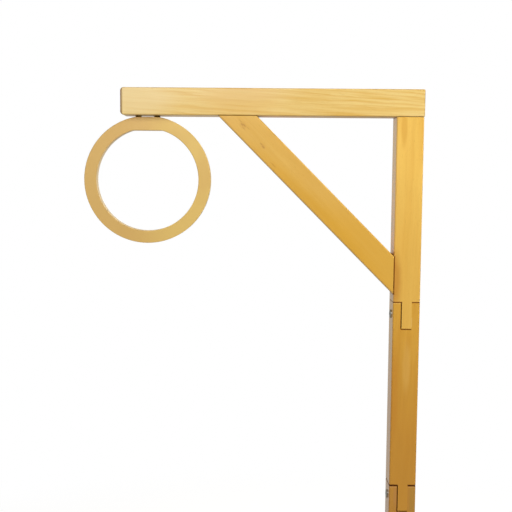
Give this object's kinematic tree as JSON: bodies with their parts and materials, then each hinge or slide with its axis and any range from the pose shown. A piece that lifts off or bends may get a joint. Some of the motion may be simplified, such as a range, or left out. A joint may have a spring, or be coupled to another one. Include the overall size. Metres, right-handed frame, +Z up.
{
  "type": "ring tilting stand",
  "caption": "Free-standing timber post on a cross foot with a braced arm; a wooden ring hangs on magnets under the arm's free end and pulls off sideways.",
  "frame": {"origin": "on the floor, under the middle of the whole stand's box; the post's axis is at x = 0.1195", "axes": "+Z up; the arm points along -X from the post; -Y is the front, the ring's plane is XZ"},
  "size_m": [0.839, 0.6, 1.3385],
  "materials": {
    "pine_arm": "clear lacquered, planed",
    "pine_post": "clear lacquered, planed",
    "ring_board": "lacquered board",
    "beech_dowel": "bare beech",
    "magnet_coat": "dark nickel coat",
    "bright_steel": "zinc plated",
    "insert_zinc": "yellow zinc plated",
    "pad_rubber": "matt black"
  },
  "bodies": {
    "stand": {"arm_beam": "pine_arm", "diagonal_brace": "pine_post", "post_top": "pine_post", "post_middle_1": "pine_post", "post_middle_2": "pine_post", "post_base": "pine_post", "foot_bar_lengthwise": "pine_post", "foot_bar_crosswise": "pine_post", "foot_pad_1": "pad_rubber", "foot_pad_2": "pad_rubber", "foot_pad_3": "pad_rubber", "foot_pad_4": "pad_rubber", "foot_pad_screws": "bright_steel", "joint_bolts": "bright_steel", "joint_inserts": "insert_zinc", "frame_bolts": "bright_steel", "frame_inserts": "insert_zinc", "beam_dowels": "beech_dowel", "base_bolt": "bright_steel", "base_washer": "bright_steel", "base_insert": "insert_zinc", "base_dowels": "beech_dowel", "beam_magnet_left": "magnet_coat", "beam_magnet_right": "magnet_coat"},
    "ring": {"ring": "ring_board", "ring_magnet_left": "magnet_coat", "ring_magnet_right": "magnet_coat"}
  },
  "joints": [
    {"name": "ring_pull_off", "type": "slide", "parent": "stand", "child": "ring", "axis": [0, 1, 0], "range_m": [-0.2, 0.2]}
  ]
}
